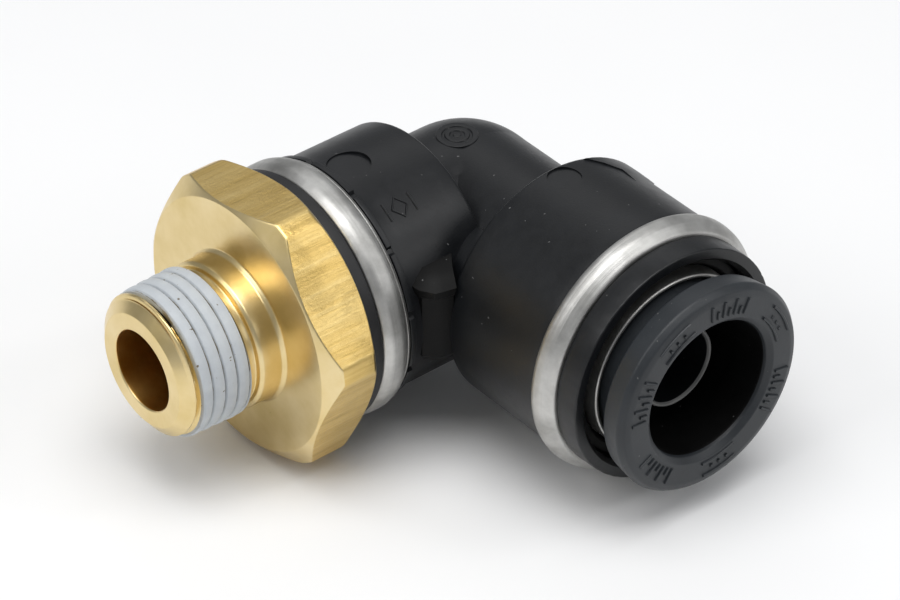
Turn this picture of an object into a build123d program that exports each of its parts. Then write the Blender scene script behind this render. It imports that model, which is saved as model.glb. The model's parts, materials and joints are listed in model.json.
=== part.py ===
from build123d import *
import os

# Push-to-connect male elbow for a 3/8 inch tube and a 1/8 taper pipe thread, in millimetres.
# Origin: centre of the thread's end face. The stud's axis is +X, which points into the fitting,
# and the tube port faces -Y. +Z is up, square to both arms.
#
# Each arm is drawn in its own plane, as (distance from the elbow's centre, radius) outlines.

# Driving dimensions
elbow_x = 26.5                 # elbow centre, from the thread's end face
running = 0.05                 # radial gap between parts that turn on each other
face_gap = 0.05                # axial gap between them

# Male stud, distances from the elbow's centre
waterway_r = 2.8
end_face_r = 4.0
end_chamfer_r = 4.7
thread_pitch = 25.4 / 27
thread_depth = 0.66
thread_end_r = 4.97
thread_taper = 1 / 32          # radius gained per millimetre of length
thread_start = 25.95
relief_start = 21.6
relief_r = 4.6
boss_start = 20.85
boss_r = 5.12
hex_front = 18.96
hex_back = 14.78
hex_across_flats = 18.1
hex_turned_r = 10.15
hex_face_r = 8.9
hex_back_r = 9.02
hex_turn = 7.0                 # degrees, a corner above the -Y direction
journal_r = 5.6
stud_inner_end = 6.3
coat_start = 25.3
coat_thickness = 0.08

# Elbow body
stud_arm_r = 8.3
stud_shoulder = 4.2
stud_arm_end = 13.6
knuckle_r = 6.4
body_waterway_r = 2.55
journal_bore_end = 6.0
tube_arm_r = 8.74
tube_shoulder = 8.9
skirt_r = 8.3
skirt_end = 20.94
collar_back = 10.95
collar_front = 11.35
collar_r = 8.55
collar_slots = 12
collar_slot_turn = 13          # degrees, the first slot above the -Y direction
pad_lean = 33                  # degrees from the top, towards +X
pad_length = 3.6
pad_width = 5.0
pad_height = 0.13
web_bottom = -2.4
web_top = 3.2
web_root = 6.3                 # its inner corner, the same distance out along both arms
web_face = (9.83, 8.67)        # middle of its outer face: distances out along the stud and tube arms
web_width = 1.3
gusset_r = 8.15                # fills the narrow gap between the stud arm and the tube arm's shoulder
gusset_back = 6.5
gusset_top = 47                # degrees up from the side that faces -X
gusset_arc = 72
mark_depth = 0.2
stud_mark = (9.4, 0.2)         # ejector marks: distance along the arm, offset across it
stud_mark_r = 1.45
tube_mark = (10.2, 0.1)
tube_mark_r = 1.13
knuckle_mark = (-0.3, 0.3)
knuckle_mark_r = 1.4
knuckle_mark_top = 6.45

# Clamp rings
ring_wall_r = 8.05             # inside of the stud arm's ring
tube_ring_wall_r = 8.2         # inside of the tube arm's ring
stud_ring_back = 11.42
stud_ring_front = 13.75
tube_ring_back = 17.5
tube_ring_front = 19.19
ring_lip_r = 7.6               # inner edge of the stud arm ring's rolled front
stud_ring_r = 8.95             # crest
stud_ring_back_r = 8.6
stud_ring_front_r = 8.45
tube_ring_r = 9.15
tube_ring_front_r = 8.5

# Stud bearing
bush_bore_r = journal_r + running
bush_r = 7.0
bush_back = 10.5
clip_back = 9.65
clip_front = 10.4
clip_seat_r = 4.9
clip_r = 6.6
clip_gap = 3.0
pocket_back = 9.4
seal_groove_back = 7.0
seal_groove_front = 8.9
seal_groove_r = 4.15
o_ring_section_r = 0.72
dust_seal_r = 8.75

# Tube socket
tube_stop = 6.0
socket_r = 4.85
seal_pocket_back = 11.5
seal_pocket_r = 6.6
cartridge_back = 14.2
cartridge_r = 7.25
support_r = 2.95
support_bore_r = 2.6
support_root = 4.0
support_tip = 21.34
flange_back = 5.5

# Grip
chuck_back = 15.6
chuck_sheet = 0.3
chuck_rim_r = 7.1
chuck_bend_r = 5.95
tooth_tip_r = 4.65
tooth_tip = 14.5
tooth_count = 12
tooth_slot = 0.7
sleeve_bore_r = 6.1
sleeve_r = 6.35
sleeve_end = 20.71
sleeve_flange_r = 6.9
bead_r = 5.85
collet_back = 16.25
collet_front = 19.8

# Release button
stem_r = 5.75
stem_end = 16.75
stem_bore_r = 5.1
barb_r = 6.03
barb_back = 18.6
barb_front = 19.2
button_back = 22.48
button_front = 24.53
button_back_r = 7.3
button_rim_r = 7.51
land_back = 21.5
mouth_r = 5.2

stud_arm = Plane(origin=(elbow_x, 0, 0), x_dir=(-1, 0, 0), z_dir=(0, 0, 1))
tube_arm = Plane(origin=(elbow_x, 0, 0), x_dir=(0, -1, 0), z_dir=(0, 0, 1))
stud_axis = Axis((elbow_x, 0, 0), (-1, 0, 0))
tube_axis = Axis((elbow_x, 0, 0), (0, -1, 0))


def outline(points):
    """Closed (distance, radius) section, added to the current sketch."""
    with BuildLine() as edge_loop:
        Polyline(*points, close=True)
    make_face(edge_loop.edges())


def disc_plane(arm, distance):
    """Plane square to an arm, facing out of its port, with +Z as its y direction."""
    out = arm.x_dir
    side = Vector(0, -1, 0) if abs(out.X) > 0.5 else Vector(1, 0, 0)
    return Plane(origin=arm.origin + out * distance, x_dir=side, z_dir=out)


def crest_r(distance):
    """Crest radius of the taper thread at a distance from the elbow's centre."""
    return thread_end_r + (thread_start - distance) * thread_taper


def thread_points():
    """Crests and roots of the thread, from its front end to the relief groove."""
    points = []
    flat = thread_pitch / 8
    turn = thread_start - flat
    while turn - thread_pitch > relief_start:
        root = turn - thread_pitch / 2
        points += [
            (turn, crest_r(turn)),
            (root + flat / 2, crest_r(root) - thread_depth),
            (root - flat / 2, crest_r(root) - thread_depth),
            (turn - thread_pitch + flat, crest_r(turn - thread_pitch)),
        ]
        turn -= thread_pitch
    return points


def finish(piece, name):
    """Label a piece and write its STEP file."""
    piece.part.label = name
    export_step(piece.part, f"parts/{name}.step")


os.makedirs("parts", exist_ok=True)

# ---------------------------------------------------------------- male stud and what turns with it

with BuildPart() as male_stud:
    # hexagon, with its corners turned off and a chamfer on both faces
    with BuildSketch(disc_plane(stud_arm, hex_back)):
        RegularPolygon(hex_across_flats / 2, 6, major_radius=False, rotation=hex_turn)
    extrude(amount=hex_front - hex_back)
    with BuildSketch(stud_arm):
        outline([
            (hex_back, 0),
            (hex_back, hex_back_r),
            (hex_back + 0.7, hex_turned_r),
            (hex_front - 0.85, hex_turned_r),
            (hex_front, hex_face_r),
            (hex_front, 0),
        ])
    revolve(axis=stud_axis, mode=Mode.INTERSECT)
    # thread, relief groove and boss in front of it, journal with its two grooves behind it
    with BuildSketch(stud_arm):
        outline([
            (elbow_x, 0),
            (elbow_x, end_face_r),
            (thread_start, end_chamfer_r),
            *thread_points(),
            (relief_start, relief_r),
            (boss_start, relief_r),
            (boss_start, boss_r - 0.2),
            (boss_start - 0.2, boss_r),
            (hex_front + 0.22, boss_r),
            (hex_front, boss_r + 0.22),
            (hex_back, journal_r + 0.4),
            (hex_back, journal_r),
            (clip_front + face_gap, journal_r),
            (clip_front + face_gap, clip_seat_r),
            (clip_back - face_gap, clip_seat_r),
            (clip_back - face_gap, journal_r),
            (seal_groove_front, journal_r),
            (seal_groove_front, seal_groove_r),
            (seal_groove_back, seal_groove_r),
            (seal_groove_back, journal_r),
            (stud_inner_end + 0.3, journal_r),
            (stud_inner_end, journal_r - 0.3),
            (stud_inner_end, 0),
        ])
    revolve(axis=stud_axis)
    # waterway with a countersunk mouth
    with BuildSketch(stud_arm):
        outline([
            (elbow_x + 1, 0),
            (elbow_x + 1, waterway_r + 1.25),
            (elbow_x - 0.25, waterway_r),
            (stud_inner_end + 0.2, waterway_r),
            (stud_inner_end - 1, waterway_r + 1.2),
            (stud_inner_end - 1, 0),
        ])
    revolve(axis=stud_axis, mode=Mode.SUBTRACT)
finish(male_stud, "male_stud")

with BuildPart() as thread_sealant:
    # dried film that covers the crests and fills the grooves
    with BuildSketch(stud_arm):
        outline([
            (coat_start, relief_r - 0.4),
            (coat_start, crest_r(coat_start) + 0.02),
            (coat_start - 0.15, crest_r(coat_start) + coat_thickness),
            (relief_start, crest_r(relief_start) + coat_thickness),
            (relief_start, relief_r - 0.4),
        ])
    revolve(axis=stud_axis)
    add(male_stud.part, mode=Mode.SUBTRACT)
finish(thread_sealant, "thread_sealant")

with BuildPart() as dust_seal:
    with BuildSketch(stud_arm):
        outline([
            (stud_ring_front + face_gap, journal_r),
            (stud_ring_front + face_gap, dust_seal_r),
            (hex_back, dust_seal_r),
            (hex_back, journal_r + 0.4),
            (hex_back - 0.1, journal_r),
        ])
    revolve(axis=stud_axis)
finish(dust_seal, "dust_seal")

with BuildPart() as stud_o_ring:
    with BuildSketch(stud_arm):
        with Locations(((seal_groove_back + seal_groove_front) / 2, journal_r - o_ring_section_r)):
            Circle(o_ring_section_r)
    revolve(axis=stud_axis)
finish(stud_o_ring, "stud_o_ring")

with BuildPart() as retaining_clip:
    # split spring ring that snaps into the stud behind the guide bush
    with BuildSketch(disc_plane(stud_arm, clip_back)):
        Circle(clip_r)
        Circle(clip_seat_r, mode=Mode.SUBTRACT)
        with Locations((0, -clip_r)):
            Rectangle(clip_gap, clip_r, mode=Mode.SUBTRACT)
    extrude(amount=clip_front - clip_back)
finish(retaining_clip, "retaining_clip")

# ---------------------------------------------------------------- elbow body and what is fixed in it

with BuildPart() as elbow_body:
    # knuckle where the arms meet
    with Locations((elbow_x, 0, 0)):
        Sphere(knuckle_r)
    # stud arm, necked down under its clamp ring
    with BuildSketch(stud_arm):
        outline([
            (0, 0),
            (0, knuckle_r),
            (stud_shoulder, knuckle_r),
            (stud_shoulder, stud_arm_r - 0.3),
            (stud_shoulder + 0.3, stud_arm_r),
            (collar_back, stud_arm_r),
            (collar_back, collar_r),
            (collar_front, collar_r),
            (collar_front, ring_wall_r),
            (stud_arm_end, ring_wall_r),
            (stud_arm_end, 0),
        ])
    revolve(axis=stud_axis)
    # tube arm, necked down under its clamp ring, with the skirt in front
    with BuildSketch(tube_arm):
        outline([
            (0, 0),
            (0, knuckle_r),
            (tube_shoulder, knuckle_r),
            (tube_shoulder, tube_arm_r - 0.35),
            (tube_shoulder + 0.35, tube_arm_r),
            (tube_ring_back - face_gap, tube_arm_r),
            (tube_ring_back - face_gap, tube_ring_wall_r),
            (tube_ring_front + face_gap, tube_ring_wall_r),
            (tube_ring_front + face_gap, skirt_r),
            (skirt_end, skirt_r),
            (skirt_end, 0),
        ])
    revolve(axis=tube_axis)
    # web in the crotch between the arms, with a thin gusset above it
    with BuildSketch(Plane.XY.offset(web_bottom)):
        with BuildLine():
            half = web_width / 2 / 2 ** 0.5
            far_x, far_y = elbow_x - web_face[0], -web_face[1]
            Polyline(
                (elbow_x - web_root, -web_root),
                (far_x - half, far_y + half + 1),
                (far_x - half, far_y + half),
                (far_x + half, far_y - half),
                (far_x + half + 1, far_y - half),
                close=True,
            )
        make_face()
    extrude(amount=web_top - web_bottom)
    with BuildSketch(tube_arm.rotated((0, 180 + gusset_top, 0))):
        outline([
            (gusset_back, knuckle_r - 1),
            (gusset_back, gusset_r),
            (tube_shoulder + 1, gusset_r),
            (tube_shoulder + 1, knuckle_r - 1),
        ])
    revolve(axis=tube_axis, revolution_arc=gusset_arc)
    # moulded pad on the far shoulder of the tube arm
    with BuildSketch(tube_arm.rotated((0, pad_lean, 0)).offset(tube_arm_r - 1)):
        with Locations((tube_shoulder + 0.1 + pad_length / 2, 0)):
            Rectangle(pad_length, pad_width)
    extrude(amount=1 + pad_height)
    # slots that break up the collar behind the stud arm's ring
    with BuildSketch(disc_plane(stud_arm, collar_back)):
        with PolarLocations(collar_r, collar_slots, start_angle=collar_slot_turn):
            Rectangle(2 * (collar_r - stud_arm_r), 0.8)
    extrude(amount=collar_front - collar_back, mode=Mode.SUBTRACT)
    # ejector marks on top of both arms, and the round gate mark on the knuckle
    with BuildSketch(Plane.XY.offset(stud_arm_r - mark_depth)):
        with Locations((elbow_x - stud_mark[0], stud_mark[1])):
            Circle(stud_mark_r)
    extrude(amount=1, mode=Mode.SUBTRACT)
    with BuildSketch(Plane.XY.offset(tube_arm_r - mark_depth)):
        with Locations((elbow_x - tube_mark[1], -tube_mark[0])):
            Circle(tube_mark_r)
    extrude(amount=1, mode=Mode.SUBTRACT)
    with BuildSketch(Plane.XY):
        with Locations((elbow_x + knuckle_mark[0], knuckle_mark[1])):
            Circle(knuckle_mark_r)
    extrude(amount=knuckle_mark_top)
    # bore for the stud, with the pocket for its clip and bush
    with BuildSketch(stud_arm):
        outline([
            (stud_arm_end + 1, 0),
            (stud_arm_end + 1, bush_r),
            (pocket_back, bush_r),
            (pocket_back, bush_bore_r),
            (journal_bore_end, bush_bore_r),
            (journal_bore_end, body_waterway_r),
            (0, body_waterway_r),
            (0, 0),
        ])
    revolve(axis=stud_axis, mode=Mode.SUBTRACT)
    # stepped socket for the tube, its seal and the gripping cartridge
    with BuildSketch(tube_arm):
        outline([
            (skirt_end + 1, 0),
            (skirt_end + 1, cartridge_r),
            (cartridge_back, cartridge_r),
            (cartridge_back, seal_pocket_r),
            (seal_pocket_back, seal_pocket_r),
            (seal_pocket_back, socket_r),
            (flange_back, socket_r),
            (flange_back, support_r),
            (support_root, support_r),
            (support_root, body_waterway_r),
            (0, body_waterway_r),
            (0, 0),
        ])
    revolve(axis=tube_axis, mode=Mode.SUBTRACT)
    with Locations((elbow_x, 0, 0)):
        Sphere(body_waterway_r, mode=Mode.SUBTRACT)
finish(elbow_body, "elbow_body")

with BuildPart() as guide_bush:
    # plain bearing pressed into the stud arm
    with BuildSketch(stud_arm):
        outline([
            (bush_back, bush_bore_r),
            (bush_back, bush_r),
            (stud_arm_end, bush_r),
            (stud_arm_end, bush_bore_r + 0.2),
            (stud_arm_end - 0.2, bush_bore_r),
        ])
    revolve(axis=stud_axis)
finish(guide_bush, "guide_bush")

with BuildPart() as stud_clamp_ring:
    # crimped sleeve with a rolled front edge
    with BuildSketch(stud_arm):
        with BuildLine():
            Polyline(
                (stud_ring_back, stud_ring_back_r),
                (stud_ring_back, ring_wall_r),
                (stud_arm_end, ring_wall_r),
                (stud_arm_end, ring_lip_r),
                (stud_ring_front, ring_lip_r),
                (stud_ring_front, stud_ring_front_r),
            )
            Spline(
                (stud_ring_front, stud_ring_front_r),
                (stud_ring_front - 0.8, stud_ring_r - 0.1),
                (stud_ring_back + 0.8, stud_ring_r),
                (stud_ring_back, stud_ring_back_r),
            )
        make_face()
    revolve(axis=stud_axis)
finish(stud_clamp_ring, "stud_clamp_ring")

with BuildPart() as tube_clamp_ring:
    with BuildSketch(tube_arm):
        with BuildLine():
            Polyline(
                (tube_ring_back, tube_ring_r - 0.1),
                (tube_ring_back, tube_ring_wall_r),
                (tube_ring_front, tube_ring_wall_r),
                (tube_ring_front, tube_ring_front_r),
            )
            Spline(
                (tube_ring_front, tube_ring_front_r),
                (tube_ring_front - 0.35, tube_ring_r - 0.2),
                (tube_ring_back + 0.7, tube_ring_r),
                (tube_ring_back, tube_ring_r - 0.1),
            )
        make_face()
    revolve(axis=tube_axis)
finish(tube_clamp_ring, "tube_clamp_ring")

with BuildPart() as tube_support:
    # thin sleeve that stands inside the tube, with a flange at the tube stop
    with BuildSketch(tube_arm):
        outline([
            (support_root, support_bore_r),
            (support_root, support_r),
            (flange_back, support_r),
            (flange_back, socket_r - running),
            (tube_stop, socket_r - running),
            (tube_stop, support_r),
            (support_tip - 0.5, support_r),
            (support_tip, support_r - 0.15),
            (support_tip, support_bore_r + 0.1),
            (support_tip - 0.2, support_bore_r),
        ])
    revolve(axis=tube_axis)
finish(tube_support, "tube_support")

with BuildPart() as tube_seal:
    # lip seal, with a lip towards the pressure and another towards the mouth
    with BuildSketch(tube_arm):
        outline([
            (seal_pocket_back + 0.1, 5.5),
            (seal_pocket_back + 0.1, seal_pocket_r),
            (cartridge_back - 0.1, seal_pocket_r),
            (cartridge_back - 0.1, 5.2),
            (cartridge_back - 0.5, 4.6),
            (cartridge_back - 0.9, 4.6),
            (cartridge_back - 1.3, 5.1),
            (seal_pocket_back + 0.9, 4.9),
            (seal_pocket_back + 0.4, 4.7),
        ])
    revolve(axis=tube_axis)
finish(tube_seal, "tube_seal")

with BuildPart() as seal_spacer:
    with BuildSketch(tube_arm):
        outline([
            (cartridge_back, 6.05),
            (cartridge_back, cartridge_r),
            (chuck_back - face_gap, cartridge_r),
            (chuck_back - face_gap, 6.3),
        ])
    revolve(axis=tube_axis)
finish(seal_spacer, "seal_spacer")

with BuildPart() as collet:
    # pressed-in ring that keeps the chuck and its guide in the body
    with BuildSketch(tube_arm):
        outline([
            (collet_back, sleeve_r + running),
            (collet_back, cartridge_r),
            (collet_front - 0.3, cartridge_r),
            (collet_front, cartridge_r - 0.3),
            (collet_front, sleeve_r + running + 0.2),
            (collet_front - 0.2, sleeve_r + running),
        ])
    revolve(axis=tube_axis)
finish(collet, "collet")

# ---------------------------------------------------------------- gripping pieces that turn with the tube

with BuildPart() as chuck:
    # sheet ring with sprung teeth that lean inwards
    lean = (chuck_back + chuck_sheet / 2 - tooth_tip) / (chuck_bend_r - tooth_tip_r)
    with BuildSketch(tube_arm):
        outline([
            (chuck_back, chuck_rim_r),
            (chuck_back + chuck_sheet, chuck_rim_r),
            (chuck_back + chuck_sheet, chuck_bend_r),
            (tooth_tip + chuck_sheet, tooth_tip_r),
            (tooth_tip, tooth_tip_r),
            (chuck_back, chuck_bend_r + chuck_sheet / lean / 2),
        ])
    revolve(axis=tube_axis)
    with BuildSketch(disc_plane(tube_arm, tooth_tip - 1)):
        with PolarLocations((chuck_bend_r + tooth_tip_r) / 2, tooth_count):
            Rectangle(chuck_bend_r - tooth_tip_r + 1, tooth_slot)
    extrude(amount=3, mode=Mode.SUBTRACT)
finish(chuck, "chuck")

with BuildPart() as guide_sleeve:
    # thin sleeve with a flange against the chuck and a rolled bead that stops the button's barb
    sheet_front = chuck_back + chuck_sheet
    with BuildSketch(tube_arm):
        outline([
            (sheet_front, sleeve_bore_r),
            (sheet_front, sleeve_flange_r),
            (collet_back - face_gap, sleeve_flange_r),
            (collet_back - face_gap, sleeve_r),
            (sleeve_end, sleeve_r),
            (sleeve_end, sleeve_bore_r),
            (barb_front + 0.75, sleeve_bore_r),
            (barb_front + 0.6, bead_r),
            (barb_front + 0.3, bead_r),
            (barb_front + 0.15, sleeve_bore_r),
        ])
    revolve(axis=tube_axis)
finish(guide_sleeve, "guide_sleeve")

with BuildPart() as release_button:
    # stem with a barb, flange with a bevelled rim, and a bore that guides the tube
    with BuildSketch(tube_arm):
        outline([
            (stem_end, stem_bore_r + 0.1),
            (stem_end, stem_r - 0.3),
            (stem_end + 0.6, stem_r),
            (barb_back, stem_r),
            (barb_front - 0.1, barb_r),
            (barb_front, barb_r),
            (barb_front, stem_r),
            (button_back, stem_r),
            (button_back, button_back_r - 0.2),
            (button_back + 0.2, button_back_r),
            (button_front - 0.55, button_rim_r),
            (button_front - 0.15, button_rim_r - 0.3),
            (button_front, button_rim_r - 0.75),
            (button_front, mouth_r + 0.1),
            (button_front - 0.1, mouth_r),
            (button_front - 0.6, socket_r),
            (land_back, socket_r),
            (land_back, stem_bore_r),
            (stem_end + 0.6, stem_bore_r),
        ])
    revolve(axis=tube_axis)
finish(release_button, "release_button")
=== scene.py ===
import json
import math

import bmesh
import bpy
from mathutils import Matrix, Vector, noise


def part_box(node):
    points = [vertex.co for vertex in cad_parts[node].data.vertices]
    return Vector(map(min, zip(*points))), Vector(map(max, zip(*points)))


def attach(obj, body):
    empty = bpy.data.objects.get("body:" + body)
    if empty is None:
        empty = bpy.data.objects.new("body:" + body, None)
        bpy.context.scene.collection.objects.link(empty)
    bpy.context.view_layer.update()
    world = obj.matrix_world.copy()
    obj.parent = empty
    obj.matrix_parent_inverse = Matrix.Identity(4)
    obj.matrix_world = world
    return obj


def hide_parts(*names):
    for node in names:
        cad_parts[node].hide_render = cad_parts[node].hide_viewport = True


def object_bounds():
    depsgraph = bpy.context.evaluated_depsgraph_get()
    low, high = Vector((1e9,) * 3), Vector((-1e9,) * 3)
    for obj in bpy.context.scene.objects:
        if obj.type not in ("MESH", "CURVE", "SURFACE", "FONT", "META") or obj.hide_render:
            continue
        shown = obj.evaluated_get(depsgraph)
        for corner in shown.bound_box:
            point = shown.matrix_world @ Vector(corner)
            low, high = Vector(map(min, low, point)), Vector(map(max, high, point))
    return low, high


# Push-to-connect male elbow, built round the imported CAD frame. Blender units are metres. Outlines are in
# millimetres, with each corner as (distance from the elbow's centre along an arm, radius, rounding).

MM = 0.001
TURN = 2 * math.pi
SHARP_DEGREES = 32          # edges that bend more than this stay sharp

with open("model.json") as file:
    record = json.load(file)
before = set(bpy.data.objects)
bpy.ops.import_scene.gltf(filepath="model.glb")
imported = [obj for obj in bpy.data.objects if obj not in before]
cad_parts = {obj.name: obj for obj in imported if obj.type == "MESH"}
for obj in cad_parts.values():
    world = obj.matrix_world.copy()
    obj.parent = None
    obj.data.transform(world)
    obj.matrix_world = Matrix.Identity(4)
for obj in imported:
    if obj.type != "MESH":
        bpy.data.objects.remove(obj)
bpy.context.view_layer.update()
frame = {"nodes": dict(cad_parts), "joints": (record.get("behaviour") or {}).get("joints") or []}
joints = {joint["name"]: joint for joint in frame["joints"]}
ELBOW = Vector(joints["elbow_swivel"]["pos_m"])


# ------------------------------------------------------------------------------------------ places

def stud_place(distance, radius, angle):
    """A point round the stud arm. Angle 0 is towards -Y and a quarter turn is up."""
    return ELBOW + MM * Vector((-distance, -radius * math.cos(angle), radius * math.sin(angle)))


def tube_place(distance, radius, angle):
    """A point round the tube arm. Angle 0 is towards -X and a quarter turn is up."""
    return ELBOW + MM * Vector((-radius * math.cos(angle), -distance, radius * math.sin(angle)))


def top_place(height, radius, angle):
    """A point round the vertical line through the elbow's centre."""
    return ELBOW + MM * Vector((radius * math.cos(angle), radius * math.sin(angle), height))


def span(node, place):
    """(back, front, radius) of a CAD node along an arm, in millimetres from the elbow's centre."""
    low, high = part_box(node)
    axis = 0 if place is stud_place else 1
    return (ELBOW[axis] - high[axis]) / MM, (ELBOW[axis] - low[axis]) / MM, (high.z - low.z) / 2 / MM


def measure(point, place):
    """(distance, radius) of a point in an arm's own measures, in millimetres."""
    away = (ELBOW - point) / MM
    if place is stud_place:
        return away.x, math.hypot(away.y, away.z)
    return away.y, math.hypot(away.x, away.z)


def blend_min(a, b, width):
    """The smaller of two lengths, rounded where they are within width of each other."""
    mix = max(0.0, min(1.0, 0.5 + 0.5 * (b - a) / width))
    return b + (a - b) * mix - width * mix * (1 - mix)


# ------------------------------------------------------------------------------------------ meshes

def rounded(corners, steps=4):
    """A closed outline with its corners rounded. A corner is (distance, radius) or has a rounding too."""
    points = []
    count = len(corners)
    for i, corner in enumerate(corners):
        here = Vector(corner[:2])
        if len(corner) == 2:
            points.append(here)
            continue
        before = Vector(corners[i - 1][:2]) - here
        after = Vector(corners[(i + 1) % count][:2]) - here
        reach = min(corner[2], 0.49 * before.length, 0.49 * after.length)
        start, end = here + before.normalized() * reach, here + after.normalized() * reach
        for step in range(steps + 1):
            t = step / steps
            points.append((1 - t) ** 2 * start + 2 * t * (1 - t) * here + t * t * end)
    return points


def graded(points, step):
    """The same outline with stretches longer than step divided."""
    out = []
    for i, here in enumerate(points):
        after = points[(i + 1) % len(points)]
        parts = max(1, math.ceil((after - here).length / step))
        out += [here.lerp(after, k / parts) for k in range(parts)]
    return out


def smooth(mesh, sharp=SHARP_DEGREES):
    """Shade a mesh smooth, except along edges sharper than so many degrees."""
    mesh.shade_smooth()
    mesh.set_sharp_from_angle(angle=math.radians(sharp))


def piece_from(name, bm, sharp=SHARP_DEGREES):
    """An object with the mesh that was built in bm, which is used up."""
    bmesh.ops.recalc_face_normals(bm, faces=bm.faces)
    mesh = bpy.data.meshes.new(name)
    bm.to_mesh(mesh)
    bm.free()
    smooth(mesh, sharp)
    piece = bpy.data.objects.new(name, mesh)
    bpy.context.scene.collection.objects.link(piece)
    return piece


def revolve(name, place, outline, segments=256, shape=None):
    """A closed outline turned about an arm. shape(distance, radius, angle) may change each radius."""
    bm = bmesh.new()
    rings = []
    for distance, radius in outline:
        if radius < 1e-6:
            rings.append([bm.verts.new(place(distance, 0, 0))])
            continue
        ring = []
        for k in range(segments):
            angle = TURN * k / segments
            r = shape(distance, radius, angle) if shape else radius
            ring.append(bm.verts.new(place(distance, r, angle)))
        rings.append(ring)
    for i, ring in enumerate(rings):
        after = rings[(i + 1) % len(rings)]
        if len(ring) == 1 and len(after) == 1:
            continue
        for k in range(segments):
            m = (k + 1) % segments
            here = [ring[k % len(ring)], ring[m % len(ring)]]
            there = [after[m % len(after)], after[k % len(after)]]
            bm.faces.new(list(dict.fromkeys(here + there)))
    return piece_from(name, bm)


def lofted(name, loops):
    """A closed solid through loops of points with the same count."""
    bm = bmesh.new()
    rings = [[bm.verts.new(p) for p in loop] for loop in loops]
    bm.faces.new(rings[0])
    bm.faces.new(rings[-1])
    for a, b in zip(rings, rings[1:]):
        for i in range(len(a)):
            j = (i + 1) % len(a)
            bm.faces.new((a[i], a[j], b[j], b[i]))
    return piece_from(name, bm)


def bake_modifiers(piece):
    """Replace a piece's mesh with what its modifiers make of it."""
    depsgraph = bpy.context.evaluated_depsgraph_get()
    mesh = bpy.data.meshes.new_from_object(piece.evaluated_get(depsgraph))
    piece.modifiers.clear()
    piece.data = mesh


def combine(piece, other, operation):
    """Join or cut a piece with another, which is used up."""
    step = piece.modifiers.new(operation, "BOOLEAN")
    step.operation = operation
    step.solver = "EXACT"
    step.object = other
    bake_modifiers(piece)
    bpy.data.objects.remove(other)


def finish_piece(piece, body, materials, nodes=()):
    """Give a piece its materials and body, and hide the CAD nodes that it stands for."""
    piece.data.materials.clear()
    for material in materials:
        piece.data.materials.append(material)
    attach(piece, body)
    if nodes:
        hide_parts(*nodes)


def paint(piece, place, choose):
    """Set each face's material to the number that choose(distance, radius, face) gives."""
    for face in piece.data.polygons:
        face.material_index = int(choose(*measure(face.center, place), face))


# --------------------------------------------------------------------------------------- materials

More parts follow.
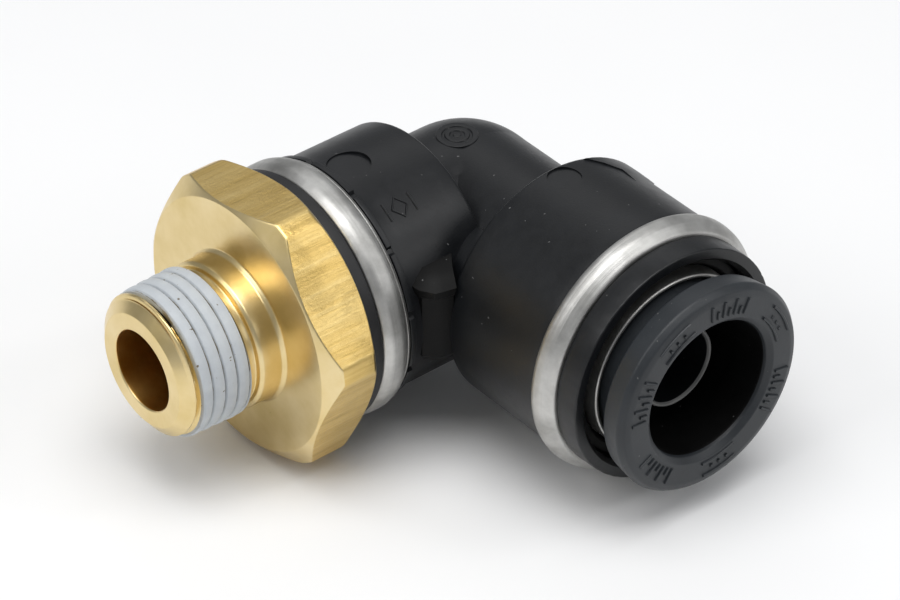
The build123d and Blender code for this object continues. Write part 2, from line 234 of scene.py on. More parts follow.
class Shader:
    """A node material, with short names for the nodes that the finishes share."""

    def __init__(self, name, roughness, metallic=0.0, **inputs):
        self.material = bpy.data.materials.new(name)
        self.material.use_nodes = True
        self.tree = self.material.node_tree
        self.surface = self.tree.nodes["Principled BSDF"]
        self.surface.inputs["Roughness"].default_value = roughness
        self.surface.inputs["Metallic"].default_value = metallic
        for socket, value in inputs.items():
            self.surface.inputs[socket.replace("_", " ")].default_value = value
        self.place = self.node("ShaderNodeTexCoord").outputs["Object"]

    def node(self, kind, **settings):
        made = self.tree.nodes.new(kind)
        for key, value in settings.items():
            setattr(made, key, value)
        return made

    def link(self, source, target):
        self.tree.links.new(source, target)

    def math(self, operation, a, b=None):
        made = self.node("ShaderNodeMath", operation=operation)
        for socket, value in zip(made.inputs, (a, b)):
            if value is None:
                continue
            if isinstance(value, (int, float)):
                socket.default_value = value
            else:
                self.link(value, socket)
        return made.outputs[0]

    def scaled(self, scale, place=None):
        mapping = self.node("ShaderNodeMapping")
        mapping.inputs["Scale"].default_value = scale
        self.link(place or self.place, mapping.inputs["Vector"])
        return mapping.outputs[0]

    def noise(self, scale, detail=3.0, rough=0.55, place=None):
        made = self.node("ShaderNodeTexNoise")
        made.inputs["Scale"].default_value = scale
        made.inputs["Detail"].default_value = detail
        made.inputs["Roughness"].default_value = rough
        self.link(place or self.place, made.inputs["Vector"])
        return made.outputs["Fac"]

    def ramp(self, value, stops):
        made = self.node("ShaderNodeValToRGB")
        ramp = made.color_ramp
        while len(ramp.elements) < len(stops):
            ramp.elements.new(0.5)
        for element, (at, colour) in zip(ramp.elements, stops):
            element.position = at
            element.color = (*colour, 1) if isinstance(colour, tuple) else (colour, colour, colour, 1)
        self.link(value, made.inputs[0])
        return made.outputs[0]

    def mix(self, share, a, b):
        """Colour b over colour a, where share is 1."""
        made = self.node("ShaderNodeMix", data_type="RGBA")
        self.link(share, made.inputs["Factor"])
        for socket, value in ((made.inputs[6], a), (made.inputs[7], b)):
            if isinstance(value, tuple):
                socket.default_value = (*value, 1)
            else:
                self.link(value, socket)
        return made.outputs[2]

    def range(self, value, low, high):
        made = self.node("ShaderNodeMapRange")
        made.inputs["To Min"].default_value = low
        made.inputs["To Max"].default_value = high
        self.link(value, made.inputs["Value"])
        return made.outputs[0]

    def bump(self, height, distance, strength=1.0, under=None):
        made = self.node("ShaderNodeBump")
        made.inputs["Distance"].default_value = distance
        made.inputs["Strength"].default_value = strength
        self.link(height, made.inputs["Height"])
        if under:
            self.link(under, made.inputs["Normal"])
        return made.outputs[0]

    def arm_radius(self, tube=False):
        """(radius from an arm's axis, place along it) in metres."""
        split = self.node("ShaderNodeSeparateXYZ")
        self.link(self.place, split.inputs[0])
        across = self.math("SUBTRACT", split.outputs["X"], ELBOW.x) if tube else split.outputs["Y"]
        along = split.outputs["Y"] if tube else split.outputs["X"]
        square = self.math("ADD", self.math("POWER", across, 2), self.math("POWER", split.outputs["Z"], 2))
        return self.math("SQRT", square), along

    def turning_marks(self, scale, tube=False):
        """Fine lines that run round an arm, as a lathe tool leaves them."""
        radius, along = self.arm_radius(tube)
        both = self.node("ShaderNodeCombineXYZ")
        self.link(radius, both.inputs[0])
        self.link(along, both.inputs[1])
        return self.noise(scale, 4, 0.7, both.outputs[0])

    def done(self, colour=None, rough=None, normal=None):
        for name, value in (("Base Color", colour), ("Roughness", rough), ("Normal", normal)):
            if value is not None:
                self.link(value, self.surface.inputs[name])
        return self.material


def brass_turned():
    """The stud's turned faces: soft clouding and very fine tool marks."""
    s = Shader("brass_turned", 0.30, 1.0)
    cloud = s.noise(260, 4, 0.6)
    marks = s.turning_marks(9000)
    tones = [(0.3, (0.70, 0.54, 0.24)), (0.55, (0.79, 0.63, 0.33)), (0.75, (0.84, 0.69, 0.40))]
    colour = s.ramp(cloud, tones)
    rough = s.range(cloud, 0.24, 0.36)
    return s.done(colour, rough, s.bump(marks, 0.00001, 0.30))


def brass_drawn():
    """The hexagon's flats: drawn bar, with streaks along the stud, rougher patches and small dents."""
    s = Shader("brass_drawn", 0.3, 1.0)
    streaks = s.noise(1, 6, 0.75, s.scaled((160, 5200, 5200)))
    broad = s.noise(1, 3, 0.6, s.scaled((110, 900, 900)))
    grain = s.noise(5200, 4, 0.7)
    patch = s.ramp(s.noise(420, 3, 0.5), [(0.45, 0.0), (0.62, 1.0)])
    both = s.math("ADD", s.math("MULTIPLY", streaks, 0.6), s.math("MULTIPLY", broad, 0.6))
    tones = [(0.35, (0.50, 0.33, 0.09)), (0.55, (0.76, 0.53, 0.18)), (0.8, (0.92, 0.70, 0.30))]
    colour = s.ramp(both, tones)
    height = s.math("MULTIPLY", grain, patch)
    normal = s.bump(streaks, 0.00005, 0.55, s.bump(height, 0.00007, 0.6))
    return s.done(colour, s.range(broad, 0.24, 0.40), normal)


def brass_bore():
    """The bore, whose darker and redder colour is painted shade inside the hole, with coarser tool marks.
    """
    s = Shader("brass_bore", 0.36, 1.0)
    cloud = s.noise(500, 4, 0.6)
    # darker and redder than the turned brass: painted shade inside the bore
    colour = s.ramp(cloud, [(0.3, (0.56, 0.29, 0.05)), (0.7, (0.78, 0.48, 0.14))])
    return s.done(colour, None, s.bump(s.turning_marks(5000), 0.00002, 0.6))


def sealant_film():
    """White film: faint clouding, small pits, and a dark brown line along the thread's grooves, partly
    brass showing through and partly painted shade.
    """
    s = Shader("sealant_film", 0.55, 0.0, Specular_IOR_Level=0.35)
    split = s.node("ShaderNodeSeparateXYZ")
    s.link(s.place, split.inputs[0])
    angle = s.math("ARCTAN2", split.outputs["Z"], s.math("MULTIPLY", split.outputs["Y"], -1.0))
    turns = s.math("MULTIPLY", angle, 1 / TURN)
    along = s.math("ADD", s.math("MULTIPLY", split.outputs["X"], 1 / (MM * PITCH)), THREAD_SHIFT)
    phase = s.math("FRACT", s.math("ADD", s.math("SUBTRACT", along, turns), 8.0))
    away = s.math("ABSOLUTE", s.math("SUBTRACT", phase, 0.5))
    width = s.range(s.noise(900, 3, 0.6), -0.02, 0.11)
    groove = s.ramp(s.math("SUBTRACT", width, away), [(0.0, 0.0), (0.03, 1.0)])
    pits = s.ramp(s.noise(2600, 2, 0.5), [(0.275, 1.0), (0.295, 0.0)])
    cloud = s.noise(700, 5, 0.6)
    colour = s.ramp(cloud, [(0.3, (0.46, 0.49, 0.52)), (0.7, (0.54, 0.57, 0.59))])
    # the dark brown along the grooves is partly brass showing through and partly painted shade
    colour = s.mix(groove, colour, (0.22, 0.18, 0.11))
    colour = s.mix(pits, colour, (0.16, 0.13, 0.09))
    return s.done(colour, None, s.bump(s.noise(1500, 5, 0.6), 0.00003, 0.5))


def stainless(name, tube):
    """Dull rolled stainless steel, with marks that run round the tube arm or else the stud arm."""
    s = Shader(name, 0.4, 1.0)
    marks = s.turning_marks(6500, tube)
    cloud = s.noise(420, 5, 0.6)
    colour = s.ramp(cloud, [(0.3, (0.36, 0.355, 0.34)), (0.7, (0.62, 0.615, 0.595))])
    normal = s.bump(marks, 0.00003, 0.6, s.bump(s.noise(240, 3, 0.5), 0.00025, 0.35))
    return s.done(colour, s.range(s.noise(900, 4, 0.6), 0.36, 0.54), normal)


def moulded(name, colour, light, roughness, gloss=0.4):
    """Satin moulded plastic: faint clouding, a fine skin and a few light specks of dust."""
    s = Shader(name, roughness, 0.0, Specular_IOR_Level=gloss)
    cloud = s.noise(300, 5, 0.6)
    skin = s.noise(6500, 3, 0.6)
    dust = s.ramp(s.noise(3100, 1, 0.4), [(0.785, 0.0), (0.80, 1.0)])
    base = s.ramp(cloud, [(0.3, colour), (0.75, light)])
    base = s.mix(dust, base, (0.11, 0.11, 0.11))
    rough = s.range(s.noise(1200, 4, 0.6), roughness - 0.06, roughness + 0.09)
    normal = s.bump(skin, 0.00002, 0.35, s.bump(cloud, 0.00008, 0.2))
    return s.done(base, rough, normal)


def rubber():
    """Matt black rubber."""
    s = Shader("rubber", 0.5)
    colour = s.ramp(s.noise(900, 4, 0.6), [(0.3, (0.006, 0.006, 0.007)), (0.7, (0.012, 0.012, 0.013))])
    return s.done(colour, None, s.bump(s.noise(5000, 3, 0.6), 0.00003, 0.4))


def floor_material():
    """The pale studio floor, with a trace of clouding."""
    s = Shader("floor", 0.75, 0.0, Specular_IOR_Level=0.1)
    colour = s.ramp(s.noise(30, 3, 0.5), [(0.3, 0.90), (0.7, 0.92)])
    return s.done(colour)


# ------------------------------------------------------------------------------------ stud pieces

STUD_BACK, STUD_FRONT = span("male_stud", stud_place)[:2]
STUD_BORE_R = 2.8
BOSS_R = 5.12
JOURNAL_R = 5.6
RELIEF_R = 4.62
RELIEF_BACK = 20.87

# The helical taper thread, and the coat of sealant film over it
COAT_BACK, COAT_FRONT = span("thread_sealant", stud_place)[:2]
COAT_THICKNESS = 0.08
COAT_INNER_R = 4.35
PITCH = 25.4 / 27
TAPER = 1 / 32
THREAD_START = STUD_FRONT - 0.55
THREAD_SHIFT = (THREAD_START - ELBOW.x / MM) / PITCH
THREAD_START_R = 4.97
THREAD_DEPTH = 0.6
THREAD_GROOVE = 0.42        # half the groove's width at the crests, in turns
THREAD_CORE_R = 4.5         # the thread is cut only into what lies outside this

# The hexagon, which the dust seal lies against
HEX_BACK = span("dust_seal", stud_place)[1]
HEX_FRONT = HEX_BACK + 4.18
HEX_FLAT_R = 9.05
HEX_CORNER_R = (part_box("male_stud")[1].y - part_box("male_stud")[0].y) / 2 / MM
HEX_TURN = math.radians(7)
HEX_CORE_R = 7              # the flats are cut only into what lies outside this
HEX_FACE_R = 8.9            # the front face ends here and its chamfer starts
HEX_BACK_R = 9.02


def crest(distance):
    """Radius of the taper thread's crests."""
    return THREAD_START_R + (THREAD_START - distance) * TAPER


def thread_phase(distance, angle):
    """0 to 1 through one turn of the right-hand thread, with 0.5 at the root."""
    return ((THREAD_START - distance) / PITCH - angle / TURN) % 1.0


def stud_shape(distance, radius, angle):
    """Cuts the helical thread and the hexagon out of the turned outline."""
    if COAT_BACK < distance < THREAD_START and radius > THREAD_CORE_R:
        off_root = abs(thread_phase(distance, angle) - 0.5)
        return radius - THREAD_DEPTH * max(0.0, 1 - off_root / THREAD_GROOVE)
    if HEX_BACK - 0.01 < distance < HEX_FRONT + 0.01 and radius > HEX_CORE_R:
        off_flat = (angle - HEX_TURN) % (TURN / 6) - TURN / 12
        return blend_min(radius, HEX_FLAT_R / math.cos(off_flat), 0.06)
    return radius


def stud_outline():
    """The stud as turned, before its thread and hexagon are cut."""
    front = [
        (STUD_FRONT - 0.25, STUD_BORE_R),
        (STUD_FRONT - 0.08, STUD_BORE_R + 0.01, 0.02),
        (STUD_FRONT, STUD_BORE_R + 0.10, 0.03),
        (STUD_FRONT, 3.98, 0.06),
        (THREAD_START + 0.04, 4.66, 0.05),
        (THREAD_START, 4.74, 0.02),
        (THREAD_START - 0.14, crest(THREAD_START), 0.05),
    ]
    back = [
        (COAT_BACK, crest(COAT_BACK), 0.05),
        (COAT_BACK - 0.2, RELIEF_R, 0.1),
        (RELIEF_BACK, RELIEF_R, 0.1),
        (RELIEF_BACK - 0.03, BOSS_R - 0.20, 0.06),
        (RELIEF_BACK - 0.21, BOSS_R, 0.12),
        (HEX_FRONT + 0.22, BOSS_R, 0.12),
        (HEX_FRONT, BOSS_R + 0.22, 0.06),
        (HEX_FRONT, HEX_FACE_R, 0.05),
        (HEX_FRONT - 0.88, HEX_CORNER_R, 0.1),
        (HEX_BACK + 0.7, HEX_CORNER_R, 0.2),
        (HEX_BACK, HEX_BACK_R, 0.15),
        (HEX_BACK, JOURNAL_R + 0.15, 0.1),
        (HEX_BACK - 0.3, JOURNAL_R),
        (STUD_BACK, JOURNAL_R, 0.2),
        (STUD_BACK, STUD_BORE_R),
    ]
    return graded(rounded(front + back), 0.9)


def with_detail(outline):
    """The stud's outline with more points along the thread and the hexagon's chamfers."""
    dense = []
    for i, point in enumerate(outline):
        after = outline[(i + 1) % len(outline)]
        dense.append(point)
        middle = (point.x + after.x) / 2
        thread = COAT_BACK < middle < THREAD_START and point.y > THREAD_CORE_R
        chamfer = HEX_BACK < middle < HEX_FRONT and HEX_FACE_R - 0.1 < point.y < HEX_CORNER_R - 0.001
        if thread or chamfer:
            parts = math.ceil((after - point).length / (0.045 if thread else 0.06))
            dense += [point.lerp(after, k / parts) for k in range(1, parts)]
    return dense


def stud_finish(distance, radius, face):
    """1 on the hexagon's flats, 2 in the bore and 0 on what is turned."""
    if abs(face.normal.x) < 0.2 and radius > 8.6 and HEX_BACK < distance < HEX_FRONT:
        return 1
    return 2 if radius < STUD_BORE_R + 0.02 else 0


def make_stud():
    stud = revolve("stud", stud_place, with_detail(stud_outline()), 480, stud_shape)
    finish_piece(stud, "stud", [brass_turned(), brass_drawn(), brass_bore()], ["male_stud"])
    paint(stud, stud_place, stud_finish)


def coat_shape(distance, radius, angle):
    """The film sinks a little along the thread's grooves, more in some places, and is slightly lumpy."""
    if radius < COAT_INNER_R + 0.25:
        return radius
    phase = thread_phase(distance, angle)
    off_root = abs(phase - 0.5) * PITCH
    here = stud_place(distance, radius, angle) * 900
    sunk = 0.5 + 0.5 * noise.noise(here * 0.35)
    groove = (0.08 + 0.20 * sunk) * math.exp(-(off_root / 0.06) ** 2)
    return radius - groove + 0.03 * math.cos(TURN * phase) + 0.012 * noise.noise(here * 1.7)


def make_sealant():
    outline = rounded([
        (COAT_FRONT, COAT_INNER_R),
        (COAT_FRONT, crest(COAT_FRONT) + 0.02, 0.03),
        (COAT_FRONT - COAT_THICKNESS, crest(COAT_FRONT) + COAT_THICKNESS, 0.05),
        (COAT_BACK + COAT_THICKNESS, crest(COAT_BACK) + COAT_THICKNESS, 0.05),
        (COAT_BACK, crest(COAT_BACK) + 0.02, 0.03),
        (COAT_BACK, COAT_INNER_R),
    ])
    sealant = revolve("sealant", stud_place, graded(outline, 0.03), 420, coat_shape)
    finish_piece(sealant, "stud", [sealant_film()], ["thread_sealant"])


def make_dust_seal(black):
    back, front, radius = span("dust_seal", stud_place)
    inner_r = 5.7
    outline = rounded([
        (back, inner_r),
        (back, radius, 0.12),
        (front - 0.02, radius, 0.05),
        (front - 0.02, inner_r),
    ])
    seal = revolve("dust_ring", stud_place, outline)
    finish_piece(seal, "stud", [black], ["dust_seal"])


# ----------------------------------------------------------------------------------- clamp rings

def make_ring(arm, place, outline):
    """An arm's crimped sleeve, which is slightly uneven."""
    def wobble(distance, radius, angle):
        return radius + 0.015 * noise.noise(place(distance, radius, angle) * 260)

    ring = revolve(f"{arm}_ring", place, rounded(outline, 8), 360, wobble)
    steel = stainless(f"stainless_{arm}", place is tube_place)
    finish_piece(ring, "elbow", [steel], [f"{arm}_clamp_ring"])


def make_clamp_rings():
    back, front, radius = span("stud_clamp_ring", stud_place)
    inner_r = 8.07
    lip_r = 7.6
    make_ring("stud", stud_place, [
        (back, inner_r),
        (back, 8.50, 0.08),
        (back + 0.28, 8.68, 0.08),
        (back + 0.34, 8.58),
        (back + 0.42, 8.78, 0.08),
        (back + 0.85, radius - 0.02, 0.4),
        (front - 0.55, radius - 0.03, 0.5),
        (front - 0.05, 8.62, 0.2),
        (front, 8.1, 0.1),
        (front, lip_r),
        (front - 0.14, lip_r),
        (front - 0.14, inner_r),
    ])

    back, front, radius = span("tube_clamp_ring", tube_place)
    inner_r = 8.22
    make_ring("tube", tube_place, [
        (back, inner_r),
        (back, 8.95, 0.06),
        (back + 0.12, 9.06, 0.05),
        (back + 0.35, radius - 0.03, 0.2),
        (front - 0.75, radius - 0.08, 0.7),
        (front, 8.55, 0.15),
        (front, inner_r),
    ])


# ------------------------------------------------------------------------------------------ body

SKIRT_FRONT = span("elbow_body", tube_place)[1]
STUD_ARM_END = span("elbow_body", stud_place)[1]
KNUCKLE_R = 6.4
STUD_ARM_R = 8.3
COLLAR_R = 8.55
TUBE_ARM_R = 8.74
SKIRT_R = 8.28
STUD_SEAT_R = 8.05
TUBE_SEAT_R = 8.2
MOUTH_R = 7.6
WATERWAY_R = 2.55


def skirt_shape(distance, radius, angle):
    """The skirt's trimmed front edge is slightly ragged."""
    if distance > SKIRT_FRONT - 0.3 and radius > 7:
        return radius - 0.05 * max(0.0, noise.noise(tube_place(distance, radius, angle) * 2600))
    return radius


def collar_shape(distance, radius, angle):
    """Twelve slots that break up the collar behind the stud arm's ring."""
    pitch, first, half_width = 30, 13, 1.8
    off_slot = (math.degrees(angle) - first + pitch / 2) % pitch - pitch / 2
    return STUD_ARM_R + 0.01 if abs(off_slot) < half_width and radius > 8.5 else radius


def arm_solids():
    """The outside of the two arms with the knuckle between them. The clamp rings sit in their seats."""
    stud_seat = span("stud_clamp_ring", stud_place)[0] - 0.04
    ring_back, ring_front = span("tube_clamp_ring", tube_place)[:2]
    tube_seat = ring_back - 0.05
    skirt_back = ring_front + 0.05
    quarter = [k * TURN / 96 for k in range(25)]
    stud_arm = rounded([(-KNUCKLE_R * math.cos(a), KNUCKLE_R * math.sin(a)) for a in quarter] + [
        (4.2, KNUCKLE_R, 0.25),
        (4.2, STUD_ARM_R, 0.28),
        (stud_seat - 0.45, STUD_ARM_R, 0.03),
        (stud_seat - 0.43, COLLAR_R, 0.04),
        (stud_seat - 0.02, COLLAR_R, 0.04),
        (stud_seat, STUD_SEAT_R),
        (STUD_ARM_END, STUD_SEAT_R, 0.1),
        (STUD_ARM_END, 0),
    ])
    tube_arm = rounded([
        (0.5, 0),
        (0.5, KNUCKLE_R - 0.02),
        (8.9, KNUCKLE_R - 0.02, 0.25),
        (8.9, TUBE_ARM_R, 0.30),
        (tube_seat, TUBE_ARM_R, 0.05),
        (tube_seat, TUBE_SEAT_R),
        (skirt_back, TUBE_SEAT_R),
        (skirt_back, SKIRT_R + 0.04, 0.05),
        (SKIRT_FRONT, SKIRT_R, 0.12),
        (SKIRT_FRONT, 0),
    ])
    body = revolve("body", stud_place, graded(stud_arm, 1.0), 360, collar_shape)
    other = revolve("tube_arm", tube_place, graded(tube_arm, 0.8), 288, skirt_shape)
    combine(body, other, "UNION")
    return body


def bore_solids():
    """What is bored out of the body: the stud's bearing and the stepped tube socket."""
    spacer_back = span("seal_spacer", tube_place)[0]
    seal_back = span("tube_seal", tube_place)[0] - 0.1
    support_back = span("tube_support", tube_place)[0]
    bearing = [
        (STUD_ARM_END + 1.4, 0),
        (STUD_ARM_END + 1.4, 7.0),
        (9.4, 7.0),
        (9.4, 5.65),
        (6.0, 5.65),
        (6.0, WATERWAY_R),
        (0, WATERWAY_R),
        (-0.5, 0),
    ]
    socket = rounded([
        (SKIRT_FRONT + 1, 0),
        (SKIRT_FRONT + 1, MOUTH_R),
        (SKIRT_FRONT + 0.01, MOUTH_R),
        (SKIRT_FRONT - 0.35, 7.28, 0.1),
        (spacer_back, 7.25),
        (spacer_back, 6.6),
        (seal_back, 6.6),
        (seal_back, 4.85),
        (5.5, 4.85),
        (5.5, 2.95),
        (support_back, 2.95),
        (support_back, WATERWAY_R - 0.03),
        (0.2, WATERWAY_R - 0.03),
        (0.2, 0),
    ])
    yield revolve("stud_bore", stud_place, [Vector(p) for p in bearing], 192)
    yield revolve("tube_bore", tube_place, socket, 192)


def crotch_web():
    """The web between the arms, with a lump that narrows towards its top."""
    root = 6.3
    skew = 0.58             # how far the web lies off the middle, towards the stud arm

    def ring(z, reach, width, ridge):
        """The outline at a height. reach is how far out its middle is, summed along the two arms."""
        half = width / 2 / math.sqrt(2)
        a, b = reach / 2 + skew, reach / 2 - skew
        corners = ((root, root), (a + half + 0.1, b - half - 0.9), (a + half, b - half), (a, b + ridge),
                   (a - half, b + half), (a - half - 0.9, b + half + 0.2))
        return [ELBOW + MM * Vector((-x, -y, z)) for x, y in corners]

    web = ((-2.4, 18.0, 1.0, 0.05), (-1.9, 18.5, 1.2, 0.05), (2.8, 18.5, 1.2, 0.05))
    lump = ((2.95, 18.65, 1.4, 0.3), (3.45, 18.6, 1.6, 0.4), (3.85, 17.8, 1.2, 0.3),
            (4.2, 16.9, 0.8, 0.15))
    return lofted("crotch_web", [ring(*level) for level in web + lump])


def gusset():
    """A thin wall that fills the gap between the stud arm and the tube arm's shoulder."""
    count, first, step = 29, -25, 2.6       # sections, with the first angle and the step in degrees
    flat_until = 16                         # from this section on, the wall sinks
    profile = ((6.4, 7.45), (6.9, 7.75), (7.6, 8.0), (8.5, 8.15), (9.4, 8.18))
    inner_r = 6.0
    back, front = profile[0][0], profile[-1][0]
    loops = []
    for k in range(count):
        angle = math.radians(first + step * k)
        low = 1.1 * max(0.0, (k - flat_until) / 12) ** 2
        section = [(back, inner_r)] + [(t, r - low) for t, r in profile] + [(front, inner_r)]
        loops.append([tube_place(t, r, angle) for t, r in section])
    return lofted("gusset", loops)


def far_pad():
    """A low pad at the far shoulder of the tube arm. A row is (distance, first degrees, last, radius)."""
    rows = ((8.93, 105, 141, 8.56), (9.2, 107, 141, 8.84), (10.0, 113, 141, 8.85), (10.9, 119, 141, 8.83),
            (11.6, 118.5, 137, 8.80), (12.4, 118, 126, 8.74))
    inner_r = 8.2
    loops = []
    for distance, near, far, radius in rows:
        angles = [math.radians(near + (far - near) * k / 8) for k in range(9)]
        top = [tube_place(distance, radius, a) for a in angles]
        loops.append(top + [tube_place(distance, inner_r, a) for a in angles[::-1]])
    return lofted("far_pad", loops)


def knuckle_mark():
    """The round mark on top of the knuckle, with two rings cut into it. It is a little off centre."""
    top = 6.44
    floor = 6.37
    off_centre = Vector((-0.3, 0.3, 0))
    outline = rounded([
        (4.0, 0),
        (4.0, 1.4),
        (top, 1.4, 0.05),
        (top, 1.04, 0.03),
        (floor - 0.01, 0.99),
        (floor - 0.01, 0.85),
        (top + 0.01, 0.80, 0.03),
        (top + 0.01, 0.52, 0.03),
        (floor, 0.47),
        (floor, 0.30),
        (top, 0.25, 0.03),
        (top, 0),
    ])
    mark = revolve("knuckle_mark", top_place, outline, 96)
    mark.data.transform(Matrix.Translation(off_centre * MM))
    return mark


def disc_cutter(place, distance, degrees, radius, size, depth):
    """A short cylinder that stands on an arm's surface and reaches a little under it."""
    centre = place(distance, radius, math.radians(degrees))
    up = (centre - place(distance, 0, 0)).normalized()
    along = (place(distance + 1, 0, 0) - place(distance, 0, 0)).normalized()
    side = up.cross(along)
    turns = [TURN * k / 72 for k in range(72)]
    loop = [size * MM * (along * math.cos(a) + side * math.sin(a)) for a in turns]
    base = [centre + p - depth * MM * up for p in loop]
    top = [centre + p + MM * up for p in loop]
    return lofted("cutter", [base, top])


def ejector_marks():
    """Round cutters for the shallow marks that the mould's pins leave on top of each arm."""
    yield disc_cutter(stud_place, 9.4, 91.5, STUD_ARM_R, 1.46, 0.22)
    yield disc_cutter(tube_place, 10.2, 89.4, TUBE_ARM_R, 1.14, 0.16)


def in_shaded_mouth(distance, radius, _face):
    """Whether a face is on the walls inside the skirt, which get the darker black as painted shade."""
    return radius < 7.95 and 15 < distance < SKIRT_FRONT - 0.03


# deep is the darker black, painted shade for the walls inside the skirt and for the crotch web
def make_body(black, deep):
    body = arm_solids()
    for cutter in list(bore_solids()) + list(ejector_marks()):
        combine(body, cutter, "DIFFERENCE")
    smooth(body.data)
    finish_piece(body, "elbow", [black, deep], ["elbow_body"])
    paint(body, tube_place, in_shaded_mouth)
    for part in (gusset(), far_pad(), knuckle_mark()):
        finish_piece(part, "elbow", [black])
    # painted shade: the web between the arms gets the darker black
    finish_piece(crotch_web(), "elbow", [deep])


# ----------------------------------------------------------------------------- mouth and button

def make_collet(deep):
    """The ring pressed into the mouth, in the darker black as painted shade behind the button."""
    back, front, radius = span("collet", tube_place)
    inner_r = 6.42
    outline = rounded([
        (back, inner_r),
        (back, radius),
        (front, radius, 0.12),
        (front, 6.6, 0.1),
        (front - 0.3, inner_r, 0.05),
    ])
    collet = revolve("collet_ring", tube_place, outline)
    # painted shade: the collet gets the darker black
    finish_piece(collet, "elbow", [deep], ["collet"])


def make_sleeve():
    """The guide sleeve, whose bright edge shows round the button. A bead inside it stops the button."""
    back, front, flange = span("guide_sleeve", tube_place)
    inner_r, outer_r = 6.1, 6.35
    bead_r = 5.85
    bead_back, bead_front = 19.35, 19.95
    outline = rounded([
        (back, inner_r),
        (back, flange, 0.05),
        (back + 0.3, flange, 0.05),
        (back + 0.3, outer_r, 0.05),
        (front - 0.10, outer_r + 0.01, 0.08),
        (front, 6.28, 0.05),
        (front, 6.17, 0.05),
        (front - 0.06, inner_r),
        (bead_front, inner_r, 0.05),
        (bead_front - 0.15, bead_r, 0.06),
        (bead_back + 0.15, bead_r, 0.06),
        (bead_back, inner_r, 0.05),
    ])
    sleeve = revolve("sleeve", tube_place, outline, 320)
    finish_piece(sleeve, "grip", [stainless("stainless_sleeve", True)], ["guide_sleeve"])


def make_support(black):
    """The tube support deep in the bore, with a paler front edge that is a painted highlight."""
    back, front, flange = span("tube_support", tube_place)
    inner_r, outer_r = 2.6, 2.95
    flange_back, flange_front = 5.5, 6.0
    outline = rounded([
        (back, inner_r),
        (back, outer_r),
        (flange_back, outer_r),
        (flange_back, flange),
        (flange_front, flange, 0.05),
        (flange_front, outer_r, 0.05),
        (front - 0.25, outer_r, 0.1),
        (front, 2.86, 0.05),
        (front, 2.72, 0.05),
        (front - 0.2, inner_r, 0.05),
    ])
    support = revolve("support", tube_place, outline, 200)
    # painted highlight: a paler grey on the support's front edge
    edge = moulded("support_lip_highlight", (0.10, 0.10, 0.10), (0.16, 0.16, 0.155), 0.35)
    finish_piece(support, "elbow", [black, edge], ["tube_support"])
    paint(support, tube_place, lambda distance, _radius, _face: distance > front - 0.12)


def make_button(grey, deep):
    """The release button: a stepped barrel with a bevelled flange. Its bore gets the darker black as
    painted shade.
    """
    back, front, rim = span("release_button", tube_place)
    barrel_r = 5.75
    catch_r = 6.03
    catch_front = 19.2
    port_r, bore_r = 4.85, 4.95
    port_back = 21.5
    flange_back = 22.48
    outline = rounded([
        (back, 5.05),
        (back, 5.4, 0.1),
        (back + 0.6, barrel_r, 0.1),
        (catch_front - 0.6, barrel_r),
        (catch_front - 0.1, catch_r, 0.05),
        (catch_front, catch_r, 0.03),
        (catch_front, barrel_r, 0.05),
        (flange_back, barrel_r, 0.3),
        (flange_back, 7.30, 0.15),
        (front - 0.55, rim, 0.12),
        (front - 0.12, rim - 0.30, 0.12),
        (front, rim - 0.72, 0.12),
        (front, 5.32, 0.06),
        (front - 0.30, bore_r, 0.06),
        (front - 0.6, port_r, 0.1),
        (port_back, port_r),
        (port_back, bore_r),
        (back + 0.6, bore_r),
    ], 6)
    button = revolve("button", tube_place, outline, 320)
    finish_piece(button, "button", [grey, deep], ["release_button"])

    def in_shaded_bore(distance, radius, _face):
        return radius < bore_r + 0.02 and distance < front - 0.5

    # painted shade: the button's bore gets the darker black
    paint(button, tube_place, in_shaded_bore)


# ------------------------------------------------------------------------------------ raised marks

def raised_bar(bm, path, width, height):
    """A raised bar, rounded on top, along a path of (point, way up) pairs."""
    half = width / 2
    section = ((-half, -0.08), (-half, height / 2), (-half / 2, height), (half / 2, height),
               (half, height / 2), (half, -0.08))
    rows = []
    for i, (point, up) in enumerate(path):
        ahead = path[min(i + 1, len(path) - 1)][0] - path[max(i - 1, 0)][0]
        across = ahead.cross(up).normalized() * MM
        rows.append([bm.verts.new(point + across * x + up * MM * z) for x, z in section])
    for a, b in zip(rows, rows[1:]):
        for k in range(len(section)):
            m = (k + 1) % len(section)
            bm.faces.new((a[k], a[m], b[m], b[k]))
    bm.faces.new(rows[0])
    bm.faces.new(rows[-1])


def bars_piece(name, paths, width, height):
    """One piece with a raised bar along each path."""
    bm = bmesh.new()
    for path in paths:
        raised_bar(bm, path, width, height)
    return piece_from(name, bm, 50)


def make_button_marks(grey):
    """A plain pattern round the button's face: rows of ticks, and pairs of arcs with pips between."""
    front = span("release_button", tube_place)[1]

    def run(r0, a0, r1, a1, steps=1):
        """A path across the face from one (radius, degrees) to another."""
        shares = [k / steps for k in range(steps + 1)]
        places = [(r0 + (r1 - r0) * share, math.radians(a0 + (a1 - a0) * share)) for share in shares]
        return [(tube_place(front, r, angle), Vector((0, -1, 0))) for r, angle in places]

    paths = []
    for centre in (18, 102, 205, 318):
        for k in range(7):
            a = centre + 4.6 * (k - 3)
            paths.append(run(5.6, a, 6.7 if k % 2 == 0 else 6.15, a))
    for centre in (60, 152, 262):
        paths.append(run(5.65, centre - 14, 5.65, centre + 14, 10))
        paths.append(run(6.65, centre - 12, 6.65, centre + 12, 10))
        for a in (centre - 6, centre, centre + 6):
            paths.append(run(6.0, a, 6.2, a))
    marks = bars_piece("button_marks", paths, 0.2, 0.12)
    finish_piece(marks, "button", [grey])


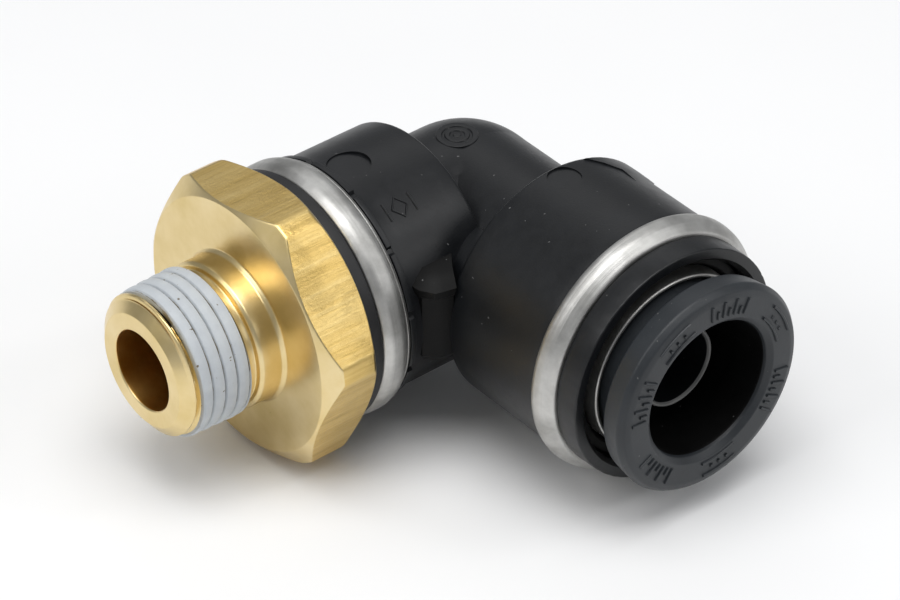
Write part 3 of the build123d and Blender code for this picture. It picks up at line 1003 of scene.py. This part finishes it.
def make_arm_mark(black):
    """A plain raised diamond with a bar each side, on the side of the stud arm."""
    def run(*places):
        """A path on the arm through (distance, degrees) places."""
        path = []
        for distance, degrees in places:
            angle = math.radians(degrees)
            up = Vector((0, -math.cos(angle), math.sin(angle)))
            path.append((stud_place(distance, STUD_ARM_R - 0.02, angle), up))
        return path

    left, middle, right = 9.45, 8.85, 8.25
    paths = [
        run((left, 59), (middle, 64), (right, 59)),
        run((right, 59), (middle, 54), (left, 59)),
        run((left + 0.45, 54.5), (left + 0.45, 63.5)),
        run((right - 0.45, 54.5), (right - 0.45, 63.5)),
    ]
    mark = bars_piece("arm_mark", paths, 0.16, 0.10)
    finish_piece(mark, "elbow", [black])


# -------------------------------------------------------------------------------- hidden CAD nodes

def finish_hidden(steel, black, white):
    """The pieces inside keep their CAD shape and get real finishes."""
    finishes = {
        "stud_o_ring": black, "tube_seal": black, "retaining_clip": steel, "chuck": steel,
        "guide_bush": white, "seal_spacer": white,
    }
    for node, material in finishes.items():
        mesh = frame["nodes"][node].data
        mesh.materials.clear()
        mesh.materials.append(material)


# --------------------------------------------------------------------------------- studio, camera

def away_from(azimuth, elevation):
    """The way out from the part. Azimuth 0 is the -Y side and 90 the +X side, in degrees."""
    a, e = math.radians(azimuth), math.radians(elevation)
    return Vector((math.sin(a) * math.cos(e), -math.cos(a) * math.cos(e), math.sin(e)))


def area_light(name, azimuth, elevation, distance, size, power):
    """A soft panel aimed at the part, in metres and watts."""
    away = away_from(azimuth, elevation)
    data = bpy.data.lights.new(name, "AREA")
    data.shape = "RECTANGLE"
    data.size, data.size_y = size
    data.energy = power
    lamp = bpy.data.objects.new(name, data)
    bpy.context.scene.collection.objects.link(lamp)
    lamp.location = ELBOW + away * distance
    lamp.rotation_euler = away.to_track_quat("Z", "Y").to_euler()


def make_floor():
    """A wide floor at the height where the part rests."""
    rest_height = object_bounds()[0][2]
    half_width = 3.0
    mesh = bpy.data.meshes.new("floor")
    bm = bmesh.new()
    bmesh.ops.create_grid(bm, x_segments=8, y_segments=8, size=half_width)
    bmesh.ops.translate(bm, verts=bm.verts, vec=(ELBOW.x, 0, rest_height))
    bm.to_mesh(mesh)
    bm.free()
    floor = bpy.data.objects.new("floor", mesh)
    bpy.context.scene.collection.objects.link(floor)
    mesh.materials.append(floor_material())


def make_lights():
    world = bpy.data.worlds.new("studio")
    world.use_nodes = True
    background = world.node_tree.nodes["Background"]
    background.inputs["Color"].default_value = (0.95, 0.97, 1.0, 1)
    background.inputs["Strength"].default_value = 0.3
    bpy.context.scene.world = world
    area_light("top", -40, 80, 0.35, (0.30, 0.22), 0.85)
    area_light("left", -100, 40, 0.40, (0.20, 0.20), 0.34)
    area_light("front", 34, 27, 0.38, (0.22, 0.14), 0.17)
    area_light("spot", 46, 48, 0.40, (0.07, 0.07), 0.10)
    area_light("back", 140, 45, 0.40, (0.30, 0.16), 0.12)
    bpy.context.scene.view_settings.view_transform = "Standard"


def make_camera():
    """A long lens that looks down on the crotch, moved a little aside to frame the part."""
    azimuth = -39.5
    distance, pan_right, pan_up = 0.2971, -0.00089, -0.0057
    back = away_from(azimuth, 37.28)
    right = Vector((math.cos(math.radians(azimuth)), math.sin(math.radians(azimuth)), 0))
    data = bpy.data.cameras.new("camera")
    data.sensor_width = 36
    data.lens = 178.96
    data.clip_start, data.clip_end = 0.01, 20
    camera = bpy.data.objects.new("camera", data)
    bpy.context.scene.collection.objects.link(camera)
    camera.location = ELBOW + back * distance + right * pan_right + back.cross(right) * pan_up
    camera.rotation_euler = back.to_track_quat("Z", "Y").to_euler()
    bpy.context.scene.camera = camera


# ------------------------------------------------------------------------------------------- build

make_camera()
body_black = moulded("body_black", (0.0035, 0.004, 0.005), (0.0065, 0.0075, 0.009), 0.36)
button_grey = moulded("button_grey", (0.019, 0.022, 0.0255), (0.026, 0.030, 0.0345), 0.40)
# painted shade: a darker, less glossy copy of the black plastic for the mouth walls, the crotch web, the
# collet and the button's bore
painted_shade_black = moulded("painted_shade_black", (0.002, 0.002, 0.002), (0.004, 0.004, 0.004), 0.5, gloss=0.15)
bush_white = moulded("bush_white", (0.62, 0.60, 0.55), (0.72, 0.70, 0.66), 0.4)
seal_black = rubber()
make_stud()
make_sealant()
make_dust_seal(seal_black)
make_clamp_rings()
make_body(body_black, painted_shade_black)
make_collet(painted_shade_black)
make_sleeve()
make_support(body_black)
make_button(button_grey, painted_shade_black)
make_button_marks(button_grey)
make_arm_mark(body_black)
finish_hidden(stainless("spring_steel", True), seal_black, bush_white)
make_floor()
make_lights()
